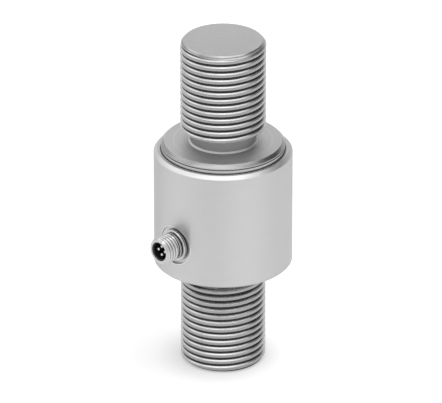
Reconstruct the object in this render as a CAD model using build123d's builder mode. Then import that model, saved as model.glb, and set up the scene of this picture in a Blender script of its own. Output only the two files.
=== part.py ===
from build123d import *
from math import sqrt
import os

# Inline load cell, tension and compression, in millimetres.
# One turned steel body carries an M24 x 2 stud at each end, a flange inside each end of the housing and a
# square measuring column between the flanges. A steel housing sleeve closes the gauged column in, and an
# M8 x 1 four-pin plug connector stands out of its side. Both threads are drawn at their major diameter.
# Frame: origin at the centre of the lower stud's end face, +Z up the load axis, connector towards -Y.

# Studs, both alike
stud_diameter = 24.0
stud_length = 26.0
stud_end_chamfer = 1.0
neck_diameter = 18.5
neck_length = 4.5
neck_foot_chamfer = 0.5

# Flanges of the load body
boss_rise = 2.5  # the upper flange stands this far out of the housing
boss_chamfer = 0.93
upper_flange_depth = 6.0  # inside the housing
lower_flange_thickness = 3.5

# Measuring column
column_width = 13.0

# Housing sleeve
housing_diameter = 38.9
housing_height = 34.35
housing_wall = 2.0
housing_top_chamfer = 0.95
housing_bottom_chamfer = 0.4
housing_joint_chamfer = 0.15
housing_fit_gap = 0.05  # on the radius, round both flanges
lip_thickness = 1.2  # the inward lip that carries the lower flange
lip_width = 1.45  # inwards from the sleeve's bore

# Seal between upper flange and sleeve
seal_width = 1.8
seal_height = 1.3
seal_depth = 3.0  # from the housing's top face to the middle of the seal

# Connector, an M8 x 1 plug with four contacts
connector_rise = 5.95  # from the lower flange's top face to the connector's axis
connector_thread_diameter = 8.0
connector_front_chamfer = 0.65
connector_thread_length = 4.2
connector_relief_depth = 0.45
connector_relief_length = 0.35  # the same before and behind the collar
connector_collar_length = 0.5
connector_flange_width = 0.65  # beyond the thread's radius
connector_flange_thickness = 0.9
connector_flange_chamfer = 0.2
connector_shank_diameter = 7.0
connector_shank_length = 2.9
connector_bore_diameter = 5.5
spot_face_margin = 1.15  # round the connector's flange
spot_face_depth = 0.95  # below the housing's outer surface, on the connector's axis
shank_clearance = 0.05

# Rubber washer under the connector's flange
washer_thickness = 0.5
washer_inset = 0.15  # from the flange's rim

# Insert and contacts
insert_front = 0.5
insert_wall = 0.25
socket_depth = 5.0
insert_length = 8.5
key_width = 0.6
key_height = 0.35
contact_diameter = 1.0
contact_circle_radius = 1.3
contact_front = 0.9
contact_length = 10.0

# Strain gauges and their solder terminals, one of each on every face of the column
gauge_width = 5.0
gauge_length = 8.0
gauge_thickness = 0.15
terminal_width = 4.4
terminal_length = 1.8
terminal_thickness = 0.3
terminal_gap = 0.8
pad_size = 1.0
pad_height = 0.3

# Circuit board, a horseshoe that slides round the column
board_rim_gap = 1.85  # to the sleeve's bore
board_column_gap = 0.7  # to the column's corners
board_thickness = 1.6
board_screw_inset = 2.4  # from the board's rim to a screw's axis
board_screw_angles = (195, 270, 345)
spacer_across_flats = 4.0
spacer_length = 4.0
screw_diameter = 2.0
screw_head_diameter = 3.8
screw_head_height = 1.3
screw_grip = 4.0  # thread length in the flange
screw_hole_clearance = 0.05
chip_size = (4.9, 3.9, 1.4)
chip_angle = 308
resistor_size = (3.2, 1.6, 0.6)
resistor_angles = (213, 228, 243)

# Worked out from the above
stud_radius = stud_diameter / 2
neck_radius = neck_diameter / 2
housing_radius = housing_diameter / 2
sleeve_radius = housing_radius - housing_wall
flange_radius = sleeve_radius - housing_fit_gap
lip_radius = sleeve_radius - lip_width
housing_bottom = stud_length + neck_length
housing_top = housing_bottom + housing_height
boss_top = housing_top + boss_rise
total_height = boss_top + neck_length + stud_length
lower_flange_top = housing_bottom + lip_thickness + lower_flange_thickness
upper_flange_bottom = housing_top - upper_flange_depth
column_bottom = lower_flange_top
column_top = upper_flange_bottom
column_corner_radius = column_width / sqrt(2)
column_middle = (column_bottom + column_top) / 2
seal_middle = housing_top - seal_depth
connector_height = lower_flange_top + connector_rise
thread_radius = connector_thread_diameter / 2
relief_radius = thread_radius - connector_relief_depth
connector_flange_radius = thread_radius + connector_flange_width
shank_radius = connector_shank_diameter / 2
bore_radius = connector_bore_diameter / 2
# stations on the connector's axis, from the load axis outwards
seat_distance = housing_radius - spot_face_depth
shell_rear = seat_distance - connector_shank_length
connector_flange_rear = seat_distance + washer_thickness
connector_flange_front = connector_flange_rear + connector_flange_thickness
collar_rear = connector_flange_front + connector_relief_length
collar_front = collar_rear + connector_collar_length
thread_end = collar_front + connector_relief_length
connector_front = thread_end + connector_thread_length
insert_rear = connector_front - insert_front - insert_length
contact_rear = connector_front - contact_front - contact_length
board_top = upper_flange_bottom - spacer_length
board_bottom = board_top - board_thickness
board_radius = sleeve_radius - board_rim_gap
board_inner_radius = column_corner_radius + board_column_gap
board_middle_radius = (board_radius + board_inner_radius) / 2
board_screw_radius = board_radius - board_screw_inset

# The connector's axis, a plane through it with x outwards, and planes across it
connector_axis = Axis((0, 0, connector_height), (0, -1, 0))
connector_section = Plane((0, 0, connector_height), x_dir=(0, -1, 0), z_dir=(-1, 0, 0))


def across_connector(distance):
    """A plane across the connector's axis, this far out from the load axis, facing outwards."""
    return Plane((0, -distance, connector_height), x_dir=(1, 0, 0), z_dir=(0, -1, 0))


def stud_outline():
    """Half section of a stud, as (radius, distance from its end face), from the end face to the neck."""
    return [
        (0, 0),
        (stud_radius - stud_end_chamfer, 0),
        (stud_radius, stud_end_chamfer),
        (stud_radius, stud_length),
        (neck_radius, stud_length),
    ]


# Load body: one turned piece, its waist milled square
groove_floor = sleeve_radius - seal_height
lower_flange_bottom = housing_bottom + lip_thickness
body_middle = [
    (neck_radius, lower_flange_bottom - neck_foot_chamfer),
    (neck_radius + neck_foot_chamfer, lower_flange_bottom),
    (flange_radius, lower_flange_bottom),
    (flange_radius, lower_flange_top),
    (column_corner_radius, column_bottom),
    (column_corner_radius, column_top),
    (flange_radius, upper_flange_bottom),
    (flange_radius, seal_middle - seal_width / 2),
    (groove_floor, seal_middle - seal_width / 2),
    (groove_floor, seal_middle + seal_width / 2),
    (flange_radius, seal_middle + seal_width / 2),
    (flange_radius, boss_top - boss_chamfer),
    (flange_radius - boss_chamfer, boss_top),
    (neck_radius + neck_foot_chamfer, boss_top),
    (neck_radius, boss_top + neck_foot_chamfer),
]
upper_stud = [(radius, total_height - distance) for radius, distance in reversed(stud_outline())]
with BuildPart() as load_body:
    with BuildSketch(Plane.XZ):
        with BuildLine():
            Polyline(*stud_outline(), *body_middle, *upper_stud, close=True)
        make_face()
    revolve(axis=Axis.Z)
    # four flats turn the round waist into the square column
    flat_depth = column_corner_radius - column_width / 2
    with Locations((0, 0, column_middle)):
        with PolarLocations(column_width / 2 + flat_depth, 4):
            Box(2 * flat_depth, 2 * column_width, column_top - column_bottom, mode=Mode.SUBTRACT)
    # tapped holes for the board's screws
    with BuildSketch(Plane.XY.offset(upper_flange_bottom)):
        for angle in board_screw_angles:
            with PolarLocations(board_screw_radius, 1, start_angle=angle):
                Circle(screw_diameter / 2 + screw_hole_clearance)
    extrude(amount=screw_grip + screw_hole_clearance, mode=Mode.SUBTRACT)

# Housing sleeve: a tube with an inward lip at its foot and a spot face for the connector
with BuildPart() as housing_sleeve:
    with BuildSketch(Plane.XZ):
        with BuildLine():
            Polyline(
                (lip_radius, housing_bottom),
                (housing_radius - housing_bottom_chamfer, housing_bottom),
                (housing_radius, housing_bottom + housing_bottom_chamfer),
                (housing_radius, housing_top - housing_top_chamfer),
                (housing_radius - housing_top_chamfer, housing_top),
                (sleeve_radius + housing_joint_chamfer, housing_top),
                (sleeve_radius, housing_top - housing_joint_chamfer),
                (sleeve_radius, housing_bottom + lip_thickness),
                (lip_radius, housing_bottom + lip_thickness),
                close=True,
            )
        make_face()
    revolve(axis=Axis.Z)
    with BuildSketch(across_connector(seat_distance)):
        Circle(connector_flange_radius + spot_face_margin)
    extrude(amount=housing_radius, mode=Mode.SUBTRACT)
    with BuildSketch(across_connector(0)):
        Circle(shank_radius + shank_clearance)
    extrude(amount=housing_radius, mode=Mode.SUBTRACT)

# Seal ring in the upper flange's groove, squeezed against the sleeve
with BuildPart() as housing_seal:
    with BuildSketch(Plane.XZ):
        with Locations((groove_floor + seal_height / 2, seal_middle)):
            Rectangle(seal_height, seal_width)
    revolve(axis=Axis.Z)

# Connector shell: threaded barrel, relief, collar, flange on the spot face and shank through the sleeve
with BuildPart() as connector_shell:
    with BuildSketch(connector_section):
        with BuildLine():
            Polyline(
                (shell_rear, bore_radius),
                (shell_rear, shank_radius),
                (connector_flange_rear, shank_radius),
                (connector_flange_rear, connector_flange_radius),
                (connector_flange_front - connector_flange_chamfer, connector_flange_radius),
                (connector_flange_front, connector_flange_radius - connector_flange_chamfer),
                (connector_flange_front, relief_radius),
                (collar_rear, relief_radius),
                (collar_rear, thread_radius),
                (collar_front, thread_radius),
                (collar_front, relief_radius),
                (thread_end, relief_radius),
                (thread_end, thread_radius),
                (connector_front - connector_front_chamfer, thread_radius),
                (connector_front, thread_radius - connector_front_chamfer),
                (connector_front, bore_radius),
                close=True,
            )
        make_face()
    revolve(axis=connector_axis)

# Rubber washer between the connector's flange and the spot face
with BuildPart() as connector_washer:
    with BuildSketch(across_connector(seat_distance)):
        Circle(connector_flange_radius - washer_inset)
        Circle(shank_radius, mode=Mode.SUBTRACT)
    extrude(amount=washer_thickness)

# Contact insert: a cup of black plastic with a coding key on its wall and a hole for each contact
insert_bore_radius = bore_radius - insert_wall
with BuildPart() as contact_insert:
    with BuildSketch(across_connector(insert_rear)):
        Circle(bore_radius)
    extrude(amount=insert_length)
    with BuildSketch(across_connector(connector_front - socket_depth)):
        Circle(insert_bore_radius)
        with Locations((0, insert_bore_radius)):
            Rectangle(key_width, 2 * key_height, mode=Mode.SUBTRACT)
    extrude(amount=socket_depth, mode=Mode.SUBTRACT)
    with BuildSketch(across_connector(insert_rear)):
        with PolarLocations(contact_circle_radius, 4):
            Circle(contact_diameter / 2)
    extrude(amount=insert_length, mode=Mode.SUBTRACT)

# Four contact pins on one circle: right, top, left and bottom as seen from the front
contact_pins = []
for turn in range(4):
    with BuildPart() as pin:
        with BuildSketch(across_connector(contact_rear)):
            with PolarLocations(contact_circle_radius, 1, start_angle=turn * 90):
                Circle(contact_diameter / 2)
        extrude(amount=contact_length)
    contact_pins.append(pin)

# Strain gauges and solder terminals on the four faces of the column
gauge_faces = []
for turn in range(4):
    outward = Vector(1, 0, 0).rotate(Axis.Z, turn * 90)
    across = Vector(0, 1, 0).rotate(Axis.Z, turn * 90)
    face_centre = outward * (column_width / 2) + Vector(0, 0, column_middle)
    gauge_faces.append(Plane(face_centre, x_dir=across, z_dir=outward))

strain_gauges = []
gauge_terminals = []
for face in gauge_faces:
    with BuildPart() as gauge:
        with BuildSketch(face):
            Rectangle(gauge_width, gauge_length)
        extrude(amount=gauge_thickness)
    strain_gauges.append(gauge)
    terminal_drop = (gauge_length + terminal_length) / 2 + terminal_gap
    with BuildPart() as terminal:
        with BuildSketch(face):
            with Locations((0, -terminal_drop)):
                Rectangle(terminal_width, terminal_length)
        extrude(amount=terminal_thickness)
        with BuildSketch(face.offset(terminal_thickness)):
            with Locations((0, -terminal_drop)):
                with GridLocations(terminal_width / 2, 1, 2, 1):
                    Rectangle(pad_size, pad_size)
        extrude(amount=pad_height)
    gauge_terminals.append(terminal)

# Circuit board: a horseshoe, open away from the connector, hung under the upper flange
with BuildPart() as bridge_board:
    with BuildSketch(Plane.XY.offset(board_bottom)):
        Circle(board_radius)
        Circle(board_inner_radius, mode=Mode.SUBTRACT)
        with Locations((0, board_radius)):
            Rectangle(2 * board_inner_radius, 2 * board_radius, mode=Mode.SUBTRACT)
        for angle in board_screw_angles:
            with PolarLocations(board_screw_radius, 1, start_angle=angle):
                Circle(screw_diameter / 2 + screw_hole_clearance, mode=Mode.SUBTRACT)
    extrude(amount=board_thickness)

# Hexagonal spacers and screws that hold the board
with BuildPart() as board_spacers:
    with BuildSketch(Plane.XY.offset(board_top)):
        for angle in board_screw_angles:
            with PolarLocations(board_screw_radius, 1, start_angle=angle):
                RegularPolygon(spacer_across_flats / 2, 6, major_radius=False)
                Circle(screw_diameter / 2 + screw_hole_clearance, mode=Mode.SUBTRACT)
    extrude(amount=spacer_length)

with BuildPart() as board_screws:
    for angle in board_screw_angles:
        with BuildSketch(Plane.XY.offset(board_bottom)):
            with PolarLocations(board_screw_radius, 1, start_angle=angle):
                Circle(screw_head_diameter / 2)
        extrude(amount=-screw_head_height)
        with BuildSketch(Plane.XY.offset(board_bottom)):
            with PolarLocations(board_screw_radius, 1, start_angle=angle):
                Circle(screw_diameter / 2)
        extrude(amount=board_thickness + spacer_length + screw_grip)

# Amplifier chip and trimming resistors under the board
with BuildPart() as amplifier_chip:
    with BuildSketch(Plane.XY.offset(board_bottom)):
        with PolarLocations(board_middle_radius, 1, start_angle=chip_angle):
            Rectangle(chip_size[1], chip_size[0])
    extrude(amount=-chip_size[2])

with BuildPart() as trim_resistors:
    with BuildSketch(Plane.XY.offset(board_bottom)):
        for angle in resistor_angles:
            with PolarLocations(board_middle_radius, 1, start_angle=angle):
                Rectangle(resistor_size[0], resistor_size[1])
    extrude(amount=-resistor_size[2])

pieces = {
    "load_body": load_body,
    "housing_sleeve": housing_sleeve,
    "housing_seal": housing_seal,
    "connector_shell": connector_shell,
    "connector_washer": connector_washer,
    "contact_insert": contact_insert,
    "bridge_board": bridge_board,
    "board_spacers": board_spacers,
    "board_screws": board_screws,
    "amplifier_chip": amplifier_chip,
    "trim_resistors": trim_resistors,
}
for number in range(4):
    pieces[f"contact_pin_{number + 1}"] = contact_pins[number]
    pieces[f"strain_gauge_{number + 1}"] = strain_gauges[number]
    pieces[f"gauge_terminal_{number + 1}"] = gauge_terminals[number]

os.makedirs("parts", exist_ok=True)
for name, piece in pieces.items():
    piece.part.label = name
    export_step(piece.part, f"parts/{name}.step")
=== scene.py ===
from math import ceil, cos, pi, radians, sin, tan

import bmesh
import bpy
from mathutils import Matrix, Vector


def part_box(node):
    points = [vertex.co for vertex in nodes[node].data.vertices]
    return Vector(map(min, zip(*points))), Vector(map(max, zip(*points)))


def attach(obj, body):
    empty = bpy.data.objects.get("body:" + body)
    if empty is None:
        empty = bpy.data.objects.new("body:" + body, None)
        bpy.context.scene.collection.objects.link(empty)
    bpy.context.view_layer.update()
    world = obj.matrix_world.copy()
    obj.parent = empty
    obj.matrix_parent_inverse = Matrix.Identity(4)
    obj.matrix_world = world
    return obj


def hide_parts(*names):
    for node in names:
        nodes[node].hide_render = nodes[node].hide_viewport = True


# Inline load cell. The solids give the sizes, and the pieces made here stand for four kinds of
# them: the load body and the connector shell with their threads cut, the sleeve with softened
# edges, and the contacts with round tips. Sizes are in millimetres up to to_object, which makes
# metres of them.

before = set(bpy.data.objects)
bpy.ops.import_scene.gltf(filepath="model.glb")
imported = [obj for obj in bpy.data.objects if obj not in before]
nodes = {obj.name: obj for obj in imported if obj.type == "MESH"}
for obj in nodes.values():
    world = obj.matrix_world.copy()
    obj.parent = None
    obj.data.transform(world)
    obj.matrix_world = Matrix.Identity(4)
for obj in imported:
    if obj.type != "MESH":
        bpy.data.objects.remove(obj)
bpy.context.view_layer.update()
scene = bpy.context.scene
MM = 0.001


def box_mm(name):
    """A solid's lowest and highest corners, in millimetres."""
    low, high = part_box(name)
    return Vector(low) / MM, Vector(high) / MM


# Load body, turned about Z
TOTAL = box_mm("load_body")[1].z
FLANGE_R = box_mm("load_body")[1].x
STUD_R = 12.0
STUD_LENGTH = 26.0
STUD_CHAMFER = 1.0
STUD_CHAMFER_EDGE_R = 0.12
NECK_R = 9.25
NECK_LENGTH = 4.5
NECK_FOOT = 0.5
NECK_TOP = TOTAL - STUD_LENGTH
BOSS_TOP = NECK_TOP - NECK_LENGTH
BOSS_CHAMFER = 0.93
BOSS_CHAMFER_FOOT = BOSS_TOP - BOSS_CHAMFER
BOSS_GROOVE_LOW = BOSS_CHAMFER_FOOT - 0.6
BOSS_GROOVE_HIGH = BOSS_CHAMFER_FOOT - 0.3
BOSS_GROOVE_DEPTH = 0.2
COLUMN_WIDTH = 13.0

# Housing sleeve
HOUSING_LOW, HOUSING_HIGH = box_mm("housing_sleeve")
HOUSING_R = HOUSING_HIGH.x
HOUSING_BOTTOM, HOUSING_TOP = HOUSING_LOW.z, HOUSING_HIGH.z
HOUSING_INNER_R = HOUSING_R - 2.0
LIP_R = 16.0
LIP_TOP = HOUSING_BOTTOM + 1.2
TOP_CHAMFER = 0.95
BOTTOM_CHAMFER = 0.4
JOINT_CHAMFER = 0.15

# Flanges and seal groove inside the sleeve
LOWER_FLANGE_TOP = LIP_TOP + 3.5
UPPER_FLANGE_BOTTOM = HOUSING_TOP - 6.0
SEAL_LOW, SEAL_HIGH = box_mm("housing_seal")
SEAL_GROOVE_R = HOUSING_INNER_R - 1.3

# Connector, turned about an axis towards -Y. Distances along it are from the load axis.
SHELL_LOW, SHELL_HIGH = box_mm("connector_shell")
CONNECTOR_HEIGHT = (SHELL_LOW.z + SHELL_HIGH.z) / 2
CONNECTOR_FLANGE_R = (SHELL_HIGH.z - SHELL_LOW.z) / 2
CONNECTOR_FRONT = -SHELL_LOW.y
SHELL_REAR = -SHELL_HIGH.y
BARREL_R = 4.0
BARREL_CHAMFER = 0.65
BARREL_CHAMFER_EDGE_R = 0.1
BORE_R = box_mm("contact_insert")[1].x
SHANK_R = 3.5
SHANK_CLEARANCE = 0.05
RELIEF_R = 3.55
RELIEF_LENGTH = 0.35
COLLAR_LENGTH = 0.5
SPOT_FACE_R = CONNECTOR_FLANGE_R + 0.95
SPOT_FACE_BREAK = 0.2  # the bevel of its edge
SEAT = -box_mm("connector_washer")[1].y
FLANGE_REAR = -box_mm("connector_washer")[0].y
FLANGE_FRONT = FLANGE_REAR + 0.9
FLANGE_CHAMFER = 0.2
COLLAR_REAR = FLANGE_FRONT + RELIEF_LENGTH
COLLAR_FRONT = COLLAR_REAR + COLLAR_LENGTH
THREAD_END = COLLAR_FRONT + RELIEF_LENGTH
CONNECTOR_EDGE_R = 0.05
OUTWARDS = Matrix.Translation((0, 0, CONNECTOR_HEIGHT)) @ Matrix.Rotation(pi / 2, 4, "X")  # Z to -Y

# Threads, both right-hand: depth, the lengths of crest and root along the axis, and how much
# the crest is crowned
STUD_THREAD = {"pitch": 2.0, "depth": 0.7, "crest": 0.8, "root": 0.3, "crown": 0.06}
CONNECTOR_THREAD = {"pitch": 1.0, "depth": 0.38, "crest": 0.34, "root": 0.22, "crown": 0.02}
LOWER_ROOT = 0.23  # the first root's distance from the end face, on the camera's side
UPPER_ROOT = 2.71
CONNECTOR_ROOT = 21.3  # a root's distance from the load axis
SPARE_TURNS = 2  # of a rod beyond each of its ends, before it is cut

# Meshes
CAMERA_ANGLE = radians(-45)  # where the camera stands round the load axis
EDGE_R = 0.08  # of the softened edges
SLIVER = 0.0001  # edges shorter than this are closed up after a Boolean
ON_AXIS = 1e-6  # a point nearer to the axis is on it
STRAIGHT = radians(172)  # a profile's corner wider than this stays as it is
SMOOTH_ANGLE = 38.0  # edges sharper than this, in degrees, stay sharp
SLEEVE_SMOOTH_ANGLE = 33.0
LATHE_SEGMENTS = 192
SLEEVE_SEGMENTS = 256
CONNECTOR_SEGMENTS = 128
HOLE_SEGMENTS = 96
CONTACT_SEGMENTS = 32
STUD_COLUMNS = 128
CONNECTOR_COLUMNS = 96


def finish_shading(piece, smooth_angle=SMOOTH_ANGLE):
    piece.data.shade_smooth()
    piece.data.set_sharp_from_angle(angle=radians(smooth_angle))


def to_object(name, bm, smooth_angle=SMOOTH_ANGLE):
    """Makes an object of bm, smooth but for the edges sharper than the angle."""
    bm.transform(Matrix.Scale(MM, 4))
    bmesh.ops.recalc_face_normals(bm, faces=bm.faces)
    mesh = bpy.data.meshes.new(name)
    bm.to_mesh(mesh)
    bm.free()
    piece = bpy.data.objects.new(name, mesh)
    scene.collection.objects.link(piece)
    finish_shading(piece, smooth_angle)
    return piece


def rounded(profile, radius, steps=3, keep=()):
    """The closed profile with its corners as small arcs, but for those on the axis and in keep."""
    out = []
    count = len(profile)
    for i, here in enumerate(profile):
        p = Vector(here)
        a = Vector(profile[i - 1]) - p
        b = Vector(profile[(i + 1) % count]) - p
        if i in keep or p.x < ON_AXIS or a.angle(b) > STRAIGHT:
            out.append(tuple(p))
            continue
        half = a.angle(b) / 2
        reach = min(radius / tan(half), a.length * 0.45, b.length * 0.45)
        a.normalize()
        b.normalize()
        centre = p + (a + b).normalized() * (reach / cos(half))
        first = p + a * reach - centre
        turn = -first.angle_signed(p + b * reach - centre)
        for k in range(steps + 1):
            t = turn * k / steps
            arm = (first.x * cos(t) - first.y * sin(t), first.x * sin(t) + first.y * cos(t))
            out.append(tuple(centre + Vector(arm)))
    return out


def lathe(bm, profile, segments=LATHE_SEGMENTS, closed=True):
    """Adds the half section of (radius, height) points turned round Z."""
    rings = []
    for r, z in profile:
        count = 1 if r < ON_AXIS else segments
        turns = (2 * pi * k / segments for k in range(count))
        rings.append([bm.verts.new((r * cos(t), r * sin(t), z)) for t in turns])
    for a, b in zip(rings, rings[1:] + rings[:1 if closed else 0]):
        if len(a) == 1 and len(b) == 1:
            continue
        for k in range(segments):
            j = (k + 1) % segments
            if len(a) == 1:
                bm.faces.new((a[0], b[j], b[k]))
            elif len(b) == 1:
                bm.faces.new((a[k], a[j], b[0]))
            else:
                bm.faces.new((a[k], a[j], b[j], b[k]))
    return bm


def thread_turn(thread):
    """One pitch of a thread's profile, from the middle of a root upwards, as (height, depth)
    points. The crest is crowned, and the corners of root and crest are cut off."""
    pitch, depth = thread["pitch"], thread["depth"]
    root, crest, crown = thread["root"], thread["crest"], thread["crown"]
    flank = (pitch - crest - root) / 2
    slope = (depth - crown) / flank
    root_cut, crest_cut = 0.12 * root, 0.1 * crest
    shoulder = 0.7 * crown  # the depth where a crest's cut corner ends
    foot, head = root / 2, root / 2 + flank
    rising = [
        (foot - root_cut, depth), (foot + root_cut, depth - slope * root_cut),
        (head - crest_cut, crown + slope * crest_cut), (head + crest_cut, shoulder),
    ]
    falling = [(pitch - height, d) for height, d in reversed(rising)]
    return [(0.0, depth), *rising, (pitch / 2, 0.0), *falling]


def thread_rod(radius, thread, low, high, phase, columns):
    """A closed threaded rod from below low to above high. A root's middle is at height phase in
    the direction of +X, and rises by one pitch each turn."""
    bm = bmesh.new()
    pitch = thread["pitch"]
    turn_profile = thread_turn(thread)
    first = int((low - phase) // pitch) - SPARE_TURNS
    last = int(ceil((high - phase) / pitch)) + SPARE_TURNS
    rows = [(phase + turn * pitch + height, radius - depth)
            for turn in range(first, last) for height, depth in turn_profile]
    grid = []
    for column in range(columns):
        part = column / columns
        x, y = cos(2 * pi * part), sin(2 * pi * part)
        grid.append([bm.verts.new((r * x, r * y, z + pitch * part)) for z, r in rows])
    step, count = len(turn_profile), len(rows)
    for j in range(columns):
        here, there = grid[j], grid[(j + 1) % columns]
        shift = step if j + 1 == columns else 0
        for m in range(count - 1 - shift):
            bm.faces.new((here[m], there[m + shift], there[m + 1 + shift], here[m + 1]))
    # a fan from a point on the axis closes each end, beyond the ends of the helix
    foot = bm.verts.new((0, 0, phase + (first - 1) * pitch))
    head = bm.verts.new((0, 0, phase + (last + 2) * pitch))
    bottom = [column[0] for column in grid] + [grid[0][m] for m in range(step, 0, -1)]
    top = [column[-1] for column in grid]
    top += [grid[-1][m] for m in range(count - 2, count - 2 - step, -1)]
    for rim, tip in ((bottom, foot), (top, head)):
        for a, b in zip(rim, rim[1:] + rim[:1]):
            bm.faces.new((a, b, tip))
    return bm


def combine(first, second, operation):
    """The Boolean of two bmeshes, as a bmesh."""
    holders = []
    for bm in (first, second):
        bmesh.ops.recalc_face_normals(bm, faces=bm.faces)
        mesh = bpy.data.meshes.new("scratch")
        bm.to_mesh(mesh)
        bm.free()
        holder = bpy.data.objects.new("scratch", mesh)
        scene.collection.objects.link(holder)
        holders.append(holder)
    modifier = holders[0].modifiers.new("cut", "BOOLEAN")
    modifier.operation = operation
    modifier.solver = "EXACT"
    modifier.object = holders[1]
    depsgraph = bpy.context.evaluated_depsgraph_get()
    result = bpy.data.meshes.new_from_object(holders[0].evaluated_get(depsgraph))
    out = bmesh.new()
    out.from_mesh(result)
    bmesh.ops.dissolve_degenerate(out, dist=SLIVER, edges=out.edges)
    for holder in holders:
        mesh = holder.data
        bpy.data.objects.remove(holder)
        bpy.data.meshes.remove(mesh)
    bpy.data.meshes.remove(result)
    return out


def add_into(target, source):
    """Moves source's mesh into target."""
    mesh = bpy.data.meshes.new("scratch")
    source.to_mesh(mesh)
    source.free()
    target.from_mesh(mesh)
    bpy.data.meshes.remove(mesh)


def stud(root_from_end, upper):
    """One stud with its thread, which runs out through the end chamfer."""
    low, high = (NECK_TOP, TOTAL) if upper else (0.0, STUD_LENGTH)
    at_camera = TOTAL - root_from_end if upper else root_from_end
    phase = at_camera - STUD_THREAD["pitch"] * (CAMERA_ANGLE % (2 * pi)) / (2 * pi)
    rod = thread_rod(STUD_R, STUD_THREAD, low, high, phase, STUD_COLUMNS)
    spare = 0.6  # the envelope clears the rod but for its ends and its chamfer
    wide, narrow = STUD_R + spare, STUD_R - STUD_CHAMFER
    reach = STUD_CHAMFER + spare
    if upper:
        envelope = [(0, low), (wide, low), (wide, high - reach), (narrow, high), (0, high)]
    else:
        envelope = [(0, low), (narrow, low), (wide, low + reach), (wide, high), (0, high)]
    plain = [k for k, point in enumerate(envelope) if point[0] != narrow]
    cutter = lathe(bmesh.new(), rounded(envelope, STUD_CHAMFER_EDGE_R, keep=plain))
    return combine(rod, cutter, "INTERSECT")


def make_load_body():
    bm = bmesh.new()
    add_into(bm, stud(LOWER_ROOT, upper=False))
    add_into(bm, stud(UPPER_ROOT, upper=True))
    sunk = 1.0  # the necks reach this far into the studs
    lathe(bm, rounded([
        (0, STUD_LENGTH - sunk), (NECK_R, STUD_LENGTH - sunk),
        (NECK_R, LIP_TOP - NECK_FOOT), (NECK_R + NECK_FOOT, LIP_TOP),
        (FLANGE_R, LIP_TOP), (FLANGE_R, LOWER_FLANGE_TOP), (0, LOWER_FLANGE_TOP),
    ], EDGE_R))
    groove_r = FLANGE_R - BOSS_GROOVE_DEPTH
    lathe(bm, rounded([
        (0, UPPER_FLANGE_BOTTOM), (FLANGE_R, UPPER_FLANGE_BOTTOM),
        (FLANGE_R, SEAL_LOW.z), (SEAL_GROOVE_R, SEAL_LOW.z),
        (SEAL_GROOVE_R, SEAL_HIGH.z), (FLANGE_R, SEAL_HIGH.z),
        (FLANGE_R, BOSS_GROOVE_LOW), (groove_r, BOSS_GROOVE_LOW),
        (groove_r, BOSS_GROOVE_HIGH), (FLANGE_R, BOSS_GROOVE_HIGH),
        (FLANGE_R, BOSS_CHAMFER_FOOT), (FLANGE_R - BOSS_CHAMFER, BOSS_TOP),
        (NECK_R + NECK_FOOT, BOSS_TOP), (NECK_R, BOSS_TOP + NECK_FOOT),
        (NECK_R, NECK_TOP + sunk), (0, NECK_TOP + sunk),
    ], EDGE_R))
    column = bmesh.ops.create_cube(bm, size=1.0)["verts"]
    height = UPPER_FLANGE_BOTTOM - LOWER_FLANGE_TOP
    bmesh.ops.scale(bm, vec=(COLUMN_WIDTH, COLUMN_WIDTH, height + sunk), verts=column)
    bmesh.ops.translate(bm, vec=(0, 0, LOWER_FLANGE_TOP + height / 2), verts=column)
    return to_object("load_body_threaded", bm)


def hole(radius, near, far):
    """A cylinder round the connector's axis, to cut with."""
    profile = [(0, near), (radius, near), (radius, far), (0, far)]
    bm = lathe(bmesh.new(), profile, HOLE_SEGMENTS)
    bm.transform(OUTWARDS)
    return bm


def soften_spot_face(bm):
    """Breaks the spot face's outer edge."""
    near = 0.02
    bm.verts.ensure_lookup_table()

    def on_rim(v):
        from_axis = Vector((v.co.x, v.co.z - CONNECTOR_HEIGHT)).length
        at_surface = abs(Vector((v.co.x, v.co.y)).length - HOUSING_R) < near
        return v.co.y < 0 and at_surface and abs(from_axis - SPOT_FACE_R) < near

    rim = [e for e in bm.edges if all(on_rim(v) for v in e.verts)]
    bmesh.ops.bevel(bm, geom=rim, offset=SPOT_FACE_BREAK, segments=3, profile=0.5,
                    affect="EDGES", clamp_overlap=True)


def make_sleeve():
    bm = lathe(bmesh.new(), rounded([
        (LIP_R, HOUSING_BOTTOM), (HOUSING_R - BOTTOM_CHAMFER, HOUSING_BOTTOM),
        (HOUSING_R, HOUSING_BOTTOM + BOTTOM_CHAMFER),
        (HOUSING_R, HOUSING_TOP - TOP_CHAMFER), (HOUSING_R - TOP_CHAMFER, HOUSING_TOP),
        (HOUSING_INNER_R + JOINT_CHAMFER, HOUSING_TOP),
        (HOUSING_INNER_R, HOUSING_TOP - JOINT_CHAMFER),
        (HOUSING_INNER_R, LIP_TOP), (LIP_R, LIP_TOP),
    ], EDGE_R), SLEEVE_SEGMENTS)
    inside, outside = 5.0, 30.0  # where the holes start and end, clear of the wall
    bm = combine(bm, hole(SPOT_FACE_R, SEAT, outside), "DIFFERENCE")
    bm = combine(bm, hole(SHANK_R + SHANK_CLEARANCE, inside, outside), "DIFFERENCE")
    soften_spot_face(bm)
    return to_object("housing_sleeve_finished", bm, SLEEVE_SMOOTH_ANGLE)


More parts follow.
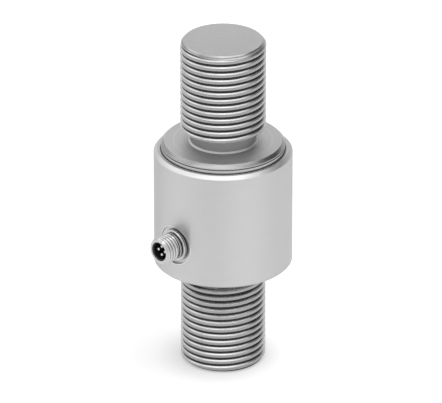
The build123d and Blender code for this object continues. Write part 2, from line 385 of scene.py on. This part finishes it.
def make_connector():
    spare = 0.3  # the envelope clears the rod but for its ends and its chamfer
    envelope = [
        (BORE_R, THREAD_END), (BARREL_R + spare, THREAD_END),
        (BARREL_R + spare, CONNECTOR_FRONT - BARREL_CHAMFER - spare),
        (BARREL_R - BARREL_CHAMFER, CONNECTOR_FRONT), (BORE_R, CONNECTOR_FRONT),
    ]
    rod = thread_rod(BARREL_R, CONNECTOR_THREAD, THREAD_END, CONNECTOR_FRONT, CONNECTOR_ROOT,
                     CONNECTOR_COLUMNS)
    envelope = rounded(envelope, BARREL_CHAMFER_EDGE_R, keep=(0, 1, 2))
    cutter = lathe(bmesh.new(), envelope, CONNECTOR_SEGMENTS)
    bm = bmesh.new()
    add_into(bm, combine(rod, cutter, "INTERSECT"))
    lathe(bm, rounded([
        (BORE_R, SHELL_REAR), (SHANK_R, SHELL_REAR),
        (SHANK_R, FLANGE_REAR), (CONNECTOR_FLANGE_R, FLANGE_REAR),
        (CONNECTOR_FLANGE_R, FLANGE_FRONT - FLANGE_CHAMFER),
        (CONNECTOR_FLANGE_R - FLANGE_CHAMFER, FLANGE_FRONT),
        (RELIEF_R, FLANGE_FRONT), (RELIEF_R, COLLAR_REAR),
        (BARREL_R, COLLAR_REAR), (BARREL_R, COLLAR_FRONT),
        (RELIEF_R, COLLAR_FRONT), (RELIEF_R, THREAD_END), (BORE_R, THREAD_END),
    ], CONNECTOR_EDGE_R), CONNECTOR_SEGMENTS)
    bm.transform(OUTWARDS)
    return to_object("connector_shell_threaded", bm)


def make_contact(node):
    """A contact pin with a round tip."""
    low, high = box_mm(node)
    radius = (high.x - low.x) / 2
    front, rear = -low.y, -high.y
    tip = 0.8 * radius  # the length of the round tip
    profile = [(0, rear), (radius, rear)]
    for degrees in range(0, 90, 15):
        t = radians(degrees)
        profile.append((radius * cos(t), front - tip + tip * sin(t)))
    profile.append((0, front))
    bm = lathe(bmesh.new(), profile, CONTACT_SEGMENTS, closed=False)
    centre = (low + high) / 2
    bm.transform(Matrix.Translation((centre.x, 0, centre.z)) @ Matrix.Rotation(pi / 2, 4, "X"))
    return to_object(f"{node}_rounded", bm)


class Graph:
    """A short way to write a material's nodes. Positions are in metres."""

    def __init__(self, name):
        self.material = bpy.data.materials.new(name)
        self.material.use_nodes = True
        self.tree = self.material.node_tree
        self.tree.nodes.clear()
        self.out = self.tree.nodes.new("ShaderNodeOutputMaterial")
        self.shader = self.tree.nodes.new("ShaderNodeBsdfPrincipled")
        self.link(self.shader.outputs[0], self.out.inputs["Surface"])

    def link(self, a, b):
        self.tree.links.new(a, b)

    def put(self, socket, value):
        """Links value to the socket, or sets it there if it is no socket."""
        if isinstance(value, bpy.types.NodeSocket):
            self.link(value, socket)
        else:
            socket.default_value = value

    def math(self, operation, a, b=None):
        node = self.tree.nodes.new("ShaderNodeMath")
        node.operation = operation
        self.put(node.inputs[0], a)
        if b is not None:
            self.put(node.inputs[1], b)
        return node.outputs[0]

    def times(self, *factors):
        product = factors[0]
        for factor in factors[1:]:
            product = self.math("MULTIPLY", product, factor)
        return product

    def vector(self, x, y, z):
        node = self.tree.nodes.new("ShaderNodeCombineXYZ")
        for socket, value in zip(node.inputs, (x, y, z)):
            self.put(socket, value)
        return node.outputs[0]

    def position(self):
        coordinates = self.tree.nodes.new("ShaderNodeTexCoord")
        split = self.tree.nodes.new("ShaderNodeSeparateXYZ")
        self.link(coordinates.outputs["Object"], split.inputs[0])
        return split.outputs[0], split.outputs[1], split.outputs[2]

    def length(self, a, b):
        return self.math("SQRT", self.math("ADD", self.times(a, a), self.times(b, b)))

    def noise(self, vector, w=None, scale=1.0, detail=2.0, roughness=0.5):
        node = self.tree.nodes.new("ShaderNodeTexNoise")
        if w is not None:
            node.noise_dimensions = "4D"
            self.put(node.inputs["W"], w)
        self.put(node.inputs["Vector"], vector)
        node.inputs["Scale"].default_value = scale
        node.inputs["Detail"].default_value = detail
        node.inputs["Roughness"].default_value = roughness
        return node.outputs["Fac"]

    def mixed(self, a, b, share):
        """share of a and the rest of b."""
        return self.math("ADD", self.times(a, share), self.times(b, 1.0 - share))

    def spread(self, value, low, high, start=0.0, end=1.0):
        """low to high while value goes from start to end, and flat outside."""
        node = self.tree.nodes.new("ShaderNodeMapRange")
        node.clamp = True
        for name, number in (("Value", value), ("From Min", start), ("From Max", end),
                             ("To Min", low), ("To Max", high)):
            self.put(node.inputs[name], number)
        return node.outputs["Result"]

    def between(self, value, start, end, soft=0.05):
        """1 where value is between start and end in millimetres, 0 outside, with a soft edge."""
        rise = self.spread(value, 0.0, 1.0, (start - soft) * MM, start * MM)
        fall = self.spread(value, 1.0, 0.0, end * MM, (end + soft) * MM)
        return self.times(rise, fall)

    def where(self, mask, factor):
        """factor where the mask is 1, and 1 where it is 0."""
        return self.math("ADD", 1.0, self.times(mask, self.math("SUBTRACT", factor, 1.0)))

    def ramp(self, value, stops):
        node = self.tree.nodes.new("ShaderNodeValToRGB")
        elements = node.color_ramp.elements
        while len(elements) < len(stops):
            elements.new(0.5)
        for element, (at, colour) in zip(elements, stops):
            element.position = at
            element.color = (colour,) * 3 + (1,) if isinstance(colour, float) else (*colour, 1)
        self.put(node.inputs[0], value)
        return node.outputs["Color"]

    def bump(self, height, strength, distance):
        node = self.tree.nodes.new("ShaderNodeBump")
        node.inputs["Strength"].default_value = strength
        node.inputs["Distance"].default_value = distance
        self.put(node.inputs["Height"], height)
        self.link(node.outputs[0], self.shader.inputs["Normal"])

    def set(self, **values):
        """Sets the shader's inputs, whose names have _ for a space, and gives the material."""
        for name, value in values.items():
            self.put(self.shader.inputs[name.replace("_", " ")], value)
        return self.material


# Finish of the metals, with painted shade and highlights. Tones are factors on a metal's own
# tone, and masks stop INSET short of an edge.
INSET = 0.05
# Painted shade in the studs' thread roots and on their crests, and a painted highlight on the
# flanks
STUD_THREAD_SHADE_AND_HIGHLIGHT = {"root": 0.09, "flank": 1.17, "crest": 0.71, "dark_to": 0.3}
# Painted shade in the connector's thread roots and reliefs, and a faint painted highlight on its
# flanks
CONNECTOR_THREAD_SHADE_AND_HIGHLIGHT = {"root": 0.38, "flank": 1.05, "crest": 1.0, "dark_to": 0.1}
# Painted shade on the neck, below the stud
NECK_SHADE = 0.57
# Painted shade on the boss's chamfer
BOSS_CHAMFER_SHADE = 0.66
# Painted shade in the boss's groove and in the joint between the load body and the sleeve
GAP_SHADE = 0.25
FACE_TONE = 1.1
FACE_ROUGHER = 0.22
MARKS_SCALE = 2400.0  # of the turning marks on the boss's face and the neck
MARKS_DEPTH = 0.14
JOINT_SHADE = 0.2  # how far above the sleeve the painted shade of the joint reaches on the load body
END_REACH = 1.25  # how far below the end face the painted highlight and shade bands of the end chamfer reach
# Bands of painted highlight and shade on the end chamfer, as (distance below the end face, factor)
END_HIGHLIGHTS_AND_SHADE = ((0.04, 1.0), (0.08, 0.85), (0.26, 0.85), (0.36, 0.5), (0.48, 0.5), (0.58, 1.15),
             (0.8, 1.15), (0.92, 0.75), (1.1, 0.5), (1.25, 1.0))
# Painted highlight on the sleeve's top chamfer
SLEEVE_CHAMFER_HIGHLIGHT = 1.16
# Painted light on the spot face, and a painted highlight on its rim
SPOT_FACE_LIGHT = 1.1
SPOT_RIM_HIGHLIGHT = 1.35
# Painted reflection bands up the sleeve's height, at fixed places round it
REFLECTION_BAND_ANGLE = CAMERA_ANGLE + radians(20)  # the middle of a painted reflection band
REFLECTION_BAND_COUNT = 6.0
REFLECTION_BAND_DEPTH = 0.035


def about_load_axis(g):
    x, y, z = g.position()
    return z, x, y


def about_connector(g):
    x, y, z = g.position()
    return y, x, g.math("SUBTRACT", z, CONNECTOR_HEIGHT * MM)


def turned_steel(name, tone, roughness, axis=about_load_axis, tint=None, rougher=None,
                 lines=9000.0, edge=1.0):
    """Metal with fine turning lines round an axis. tint(g, along, across_1, across_2, radius)
    gives a factor on its tone, and rougher(g, along) what its roughness gains. lines is the
    scale of the lines, and edge its tint at grazing angles."""
    g = Graph(name)
    along, u, v = axis(g)
    radius = g.length(u, v)
    run = 90.0  # the lines' scale in their own direction
    stretched = g.vector(g.times(u, run), g.times(v, run), g.times(along, lines))
    fine = g.noise(stretched, w=g.times(radius, lines), detail=3.0)
    clouds = g.noise(g.vector(u, v, g.times(along, 2.0)), scale=160.0, detail=3.0, roughness=0.6)
    mottling = g.mixed(fine, clouds, 0.45)
    grey = g.spread(mottling, tone * 0.965, tone * 1.03, 0.35, 0.65)
    if tint:
        grey = g.times(grey, tint(g, along, u, v, radius))
    rough = g.spread(mottling, roughness - 0.05, roughness + 0.06, 0.35, 0.65)
    if rougher:
        rough = g.math("ADD", rough, rougher(g, along))
    g.bump(fine, strength=0.12, distance=0.00002)
    return g.set(Base_Color=g.vector(grey, grey, grey), Metallic=1.0, Roughness=rough,
                 Specular_Tint=(edge, edge, edge, 1.0))


def thread_light_and_shade(g, radius, crest_radius, depth, root, flank, crest, dark_to):
    """Painted shade in a thread's root, a painted highlight on its flanks and painted shade on its
    crest, as factors by the radius. The root's shade reaches up the flanks to dark_to of the depth."""
    height = g.spread(radius, 0.0, 1.0, (crest_radius - depth) * MM, crest_radius * MM)
    return g.ramp(height, [(0.0, root), (dark_to, root), (dark_to + 0.14, flank), (0.86, flank),
                           (0.99, crest)])


def load_body_tint(g, along, u, v, radius):
    """Painted shade in the thread roots and on the crests and a painted highlight on the flanks,
    painted shade on the neck, the boss's chamfer, the groove and the joint, bands of painted
    highlight and shade on the end chamfer, and turning marks round the boss's face and the neck."""
    lower = g.between(along, -1.0, STUD_LENGTH - INSET)
    upper = g.between(along, NECK_TOP + INSET, TOTAL - STUD_CHAMFER - 0.1)
    thread = thread_light_and_shade(g, radius, STUD_R, STUD_THREAD["depth"], **STUD_THREAD_SHADE_AND_HIGHLIGHT)
    neck = g.between(along, BOSS_TOP + NECK_FOOT, NECK_TOP - 0.15, 0.1)
    chamfer = g.between(along, BOSS_CHAMFER_FOOT, BOSS_TOP - INSET)
    groove = g.between(along, BOSS_GROOVE_LOW, BOSS_GROOVE_HIGH, 0.03)
    joint = g.between(along, HOUSING_TOP - 1.0, HOUSING_TOP + JOINT_SHADE)
    from_end = g.spread(along, 1.0, 0.0, (TOTAL - END_REACH) * MM, TOTAL * MM)
    end = g.ramp(from_end, [(distance / END_REACH, tone) for distance, tone in END_HIGHLIGHTS_AND_SHADE])
    face = g.between(along, BOSS_TOP - INSET, NECK_TOP)
    rings = g.noise(g.vector(radius, along, 0.0), scale=MARKS_SCALE, detail=3.0, roughness=0.7)
    marks = g.spread(rings, FACE_TONE - MARKS_DEPTH, FACE_TONE + MARKS_DEPTH, 0.3, 0.7)
    return g.times(
        g.where(g.math("ADD", lower, upper), thread), g.where(neck, NECK_SHADE),
        g.where(chamfer, BOSS_CHAMFER_SHADE), g.where(groove, GAP_SHADE),
        g.where(joint, GAP_SHADE), g.where(face, marks), end)


def load_body_rougher(g, along):
    """The boss's face and the neck are duller than the studs."""
    return g.times(g.between(along, BOSS_TOP - INSET, NECK_TOP), FACE_ROUGHER)


def sleeve_tint(g, along, u, v, radius):
    """Faint painted reflection bands up the height, painted shade in the joint, a painted highlight
    on the top chamfer and the spot face's rim, and painted light on the spot face."""
    angle = g.math("ARCTAN2", v, u)
    wave = g.math("COSINE", g.times(g.math("SUBTRACT", angle, REFLECTION_BAND_ANGLE), REFLECTION_BAND_COUNT))
    painted_bands = g.math("ADD", 1.0, g.times(wave, REFLECTION_BAND_DEPTH))
    chamfer = g.between(along, HOUSING_TOP - TOP_CHAMFER, HOUSING_TOP - INSET)
    joint = g.spread(radius, 1.0, 0.0, (HOUSING_INNER_R + INSET) * MM,
                     (HOUSING_INNER_R + JOINT_CHAMFER) * MM)
    from_connector = g.length(u, g.math("SUBTRACT", along, CONNECTOR_HEIGHT * MM))
    front = g.spread(v, 1.0, 0.0, -HOUSING_INNER_R / 2 * MM, 0.0)
    spot = g.times(front, g.between(from_connector, 0.0, SPOT_FACE_R - INSET))
    rim = g.times(front, g.between(from_connector, SPOT_FACE_R - 0.02,
                                   SPOT_FACE_R + SPOT_FACE_BREAK))
    return g.times(painted_bands, g.where(chamfer, SLEEVE_CHAMFER_HIGHLIGHT), g.where(joint, GAP_SHADE),
                   g.where(spot, SPOT_FACE_LIGHT), g.where(rim, SPOT_RIM_HIGHLIGHT))


def connector_tint(g, along, u, v, radius):
    """Painted shade in the thread roots and reliefs, and a faint painted highlight on the flanks.
    """
    thread = thread_light_and_shade(g, radius, BARREL_R, CONNECTOR_THREAD["depth"], **CONNECTOR_THREAD_SHADE_AND_HIGHLIGHT)
    barrel = g.between(along, BARREL_CHAMFER - CONNECTOR_FRONT, -FLANGE_FRONT)
    return g.where(barrel, thread)


def plastic(name, colour, roughness):
    """Moulded plastic, rubber, board or film with a fine grain."""
    g = Graph(name)
    place = g.vector(*g.position())
    grain = g.noise(place, scale=2500.0, detail=3.0)
    clouds = g.noise(place, scale=220.0)
    dark = tuple(0.86 * c for c in colour)
    light = tuple(min(1.0, 1.12 * c) for c in colour)
    g.bump(grain, strength=0.25, distance=0.00003)
    return g.set(Base_Color=g.ramp(g.mixed(grain, clouds, 0.5), [(0.36, dark), (0.64, light)]),
                 Roughness=g.spread(grain, roughness - 0.06, roughness + 0.06, 0.3, 0.7))


def stand_for(piece, node):
    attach(piece, "root")
    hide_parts(node)
    return piece


def assign(piece, material):
    piece.data.materials.clear()
    piece.data.materials.append(material)


load_body = stand_for(make_load_body(), "load_body")
housing = stand_for(make_sleeve(), "housing_sleeve")
connector = stand_for(make_connector(), "connector_shell")
contacts = []
for number in range(1, 5):
    pin = f"contact_pin_{number}"
    contacts.append(stand_for(make_contact(pin), pin))

steel = turned_steel("turned_steel", 0.45, 0.26, tint=load_body_tint, rougher=load_body_rougher)
satin = turned_steel("satin_steel", 0.527, 0.44, tint=sleeve_tint, lines=14000.0, edge=0.75)
connector_steel = turned_steel("connector_steel", 0.52, 0.24, about_connector, connector_tint)
fixing_steel = turned_steel("fixing_steel", 0.5, 0.3)
nickel = turned_steel("nickel_plate", 0.55, 0.22, about_connector)
rubber = plastic("black_rubber", (0.022, 0.022, 0.022), 0.62)
black_plastic = plastic("black_plastic", (0.016, 0.016, 0.016), 0.42)
resin = plastic("black_resin", (0.03, 0.03, 0.03), 0.5)
green = plastic("green_board", (0.02, 0.13, 0.05), 0.35)
amber = plastic("amber_film", (0.6, 0.36, 0.08), 0.3)
tinned = plastic("tinned_film", (0.5, 0.4, 0.22), 0.35)

assign(load_body, steel)
assign(housing, satin)
assign(connector, connector_steel)
for contact in contacts:
    assign(contact, nickel)
carried = {
    "housing_seal": rubber, "connector_washer": rubber, "contact_insert": black_plastic,
    "bridge_board": green, "board_spacers": fixing_steel, "board_screws": fixing_steel,
    "amplifier_chip": resin, "trim_resistors": resin,
}
for number in range(1, 5):
    carried[f"strain_gauge_{number}"] = amber
    carried[f"gauge_terminal_{number}"] = tinned
for name, material in carried.items():
    assign(nodes[name], material)
    finish_shading(nodes[name])

# Studio, in metres
MIDDLE = Vector((0, 0, 47.0 * MM))  # what the camera, the lamps and the card aim at
FLOOR_SIZE = 8.0
FLOOR_GLOW = 0.51
CONTACT_REACH = 9.0 * MM  # of the painted contact shadow round the foot
CONTACT_SHADE = 0.8


def around(azimuth, elevation, distance):
    """A point round the object. azimuth is turned from the camera, to the picture's right."""
    a, e = CAMERA_ANGLE + radians(azimuth), radians(elevation)
    return MIDDLE + distance * Vector((cos(a) * cos(e), sin(a) * cos(e), sin(e)))


def aim(thing):
    thing.rotation_mode = "QUATERNION"
    thing.rotation_quaternion = (MIDDLE - thing.location).to_track_quat("-Z", "Y")


def sheet(name, size_x, size_y, segments=1):
    """A flat rectangle of the studio."""
    bm = bmesh.new()
    bmesh.ops.create_grid(bm, x_segments=segments, y_segments=segments, size=0.5)
    bmesh.ops.scale(bm, vec=(size_x, size_y, 1.0), verts=bm.verts)
    mesh = bpy.data.meshes.new(name)
    bm.to_mesh(mesh)
    bm.free()
    thing = bpy.data.objects.new(name, mesh)
    scene.collection.objects.link(thing)
    return thing


def floor_material():
    """A pale floor that the camera and reflections see a little lighter, up to white where no
    shadow falls, with a painted contact shadow round the foot."""
    g = Graph("pale_floor")
    patches = g.noise(g.vector(*g.position()), scale=9.0, detail=3.0)
    corner = g.tree.nodes.new("ShaderNodeAmbientOcclusion")
    corner.inputs["Distance"].default_value = CONTACT_REACH
    shade = g.spread(corner.outputs["AO"], CONTACT_SHADE, 1.0, 0.4, 1.0)
    tone = g.times(g.spread(patches, 0.79, 0.81, 0.3, 0.7), shade)
    g.set(Base_Color=g.vector(tone, tone, tone), Roughness=0.9, Specular_IOR_Level=0.0)
    light_path = g.tree.nodes.new("ShaderNodeLightPath")
    seen = light_path.outputs["Is Camera Ray"]
    for ray in ("Is Glossy Ray", "Is Transmission Ray"):
        seen = g.math("MAXIMUM", seen, light_path.outputs[ray])
    glow = g.tree.nodes.new("ShaderNodeEmission")
    glow.inputs["Color"].default_value = (1, 1, 1, 1)
    g.put(glow.inputs["Strength"], g.times(seen, FLOOR_GLOW, shade))
    add = g.tree.nodes.new("ShaderNodeAddShader")
    g.link(g.shader.outputs[0], add.inputs[0])
    g.link(glow.outputs[0], add.inputs[1])
    g.link(add.outputs[0], g.out.inputs["Surface"])
    return g.material


def make_floor():
    floor = sheet("floor", FLOOR_SIZE, FLOOR_SIZE, segments=8)
    assign(floor, floor_material())


def softbox(name, azimuth, elevation, distance, width, height, radiance,
            diffuse=True, glossy=True):
    """An area lamp whose face has this radiance."""
    data = bpy.data.lights.new(name, "AREA")
    data.shape = "RECTANGLE"
    data.size, data.size_y = width, height
    data.energy = radiance * pi * width * height
    lamp = bpy.data.objects.new(name, data)
    scene.collection.objects.link(lamp)
    lamp.location = around(azimuth, elevation, distance)
    lamp.visible_diffuse, lamp.visible_glossy = diffuse, glossy
    aim(lamp)


def dark_card():
    """A dark card behind the object on the right, which only its gloss sees."""
    card = sheet("dark_card", 1.1, 0.6)
    card.location = around(121, 36, 1.0)
    aim(card)
    card.visible_camera = card.visible_diffuse = card.visible_shadow = False
    dark = Graph("dark_card").set(Base_Color=(0.2, 0.2, 0.2, 1), Roughness=1.0)
    card.data.materials.append(dark)


def studio_world(camera, glossy, diffuse):
    """A plain white world with its own strength for the camera, for reflections and for light."""
    world = bpy.data.worlds.new("studio")
    world.use_nodes = True
    tree = world.node_tree
    tree.nodes.clear()
    skies = []
    for strength in (diffuse, glossy, camera):
        sky = tree.nodes.new("ShaderNodeBackground")
        sky.inputs["Color"].default_value = (1, 1, 1, 1)
        sky.inputs["Strength"].default_value = strength
        skies.append(sky.outputs[0])
    path = tree.nodes.new("ShaderNodeLightPath")
    seen = skies[0]
    for ray, sky in (("Is Glossy Ray", skies[1]), ("Is Camera Ray", skies[2])):
        mix = tree.nodes.new("ShaderNodeMixShader")
        tree.links.new(path.outputs[ray], mix.inputs[0])
        tree.links.new(seen, mix.inputs[1])
        tree.links.new(sky, mix.inputs[2])
        seen = mix.outputs[0]
    out = tree.nodes.new("ShaderNodeOutputWorld")
    tree.links.new(seen, out.inputs["Surface"])
    return world


make_floor()
softbox("top_softbox", 110, 82, 0.9, width=0.75, height=0.75, radiance=1.1)
softbox("front_softbox", -12, 56, 1.0, width=1.5, height=0.45, radiance=1.3, diffuse=False)
softbox("left_softbox", -118, 43, 1.0, width=0.95, height=0.45, radiance=0.65, diffuse=False)
softbox("key_softbox", 75, 65, 1.0, width=0.7, height=0.7, radiance=1.06, glossy=False)
dark_card()
scene.world = studio_world(camera=1.0, glossy=0.95, diffuse=0.55)

# Camera: its place, scale and shift are fitted to the photograph's frame
ELEVATION = 26.08
DISTANCE = 1.8
PIXELS_PER_MM = 3.566
FRAME_WIDTH = 442
SHIFT = (-2.13, 3.2)  # in pixels
SENSOR = 36.0


def make_camera():
    data = bpy.data.cameras.new("camera")
    data.sensor_width = SENSOR
    data.lens = PIXELS_PER_MM * DISTANCE / MM * SENSOR / FRAME_WIDTH
    data.clip_start, data.clip_end = 0.1, 20.0
    data.shift_x, data.shift_y = (pixels / FRAME_WIDTH for pixels in SHIFT)
    camera = bpy.data.objects.new("camera", data)
    scene.collection.objects.link(camera)
    camera.location = around(0, ELEVATION, DISTANCE)
    aim(camera)
    scene.camera = camera


make_camera()
scene.view_settings.view_transform = "Standard"
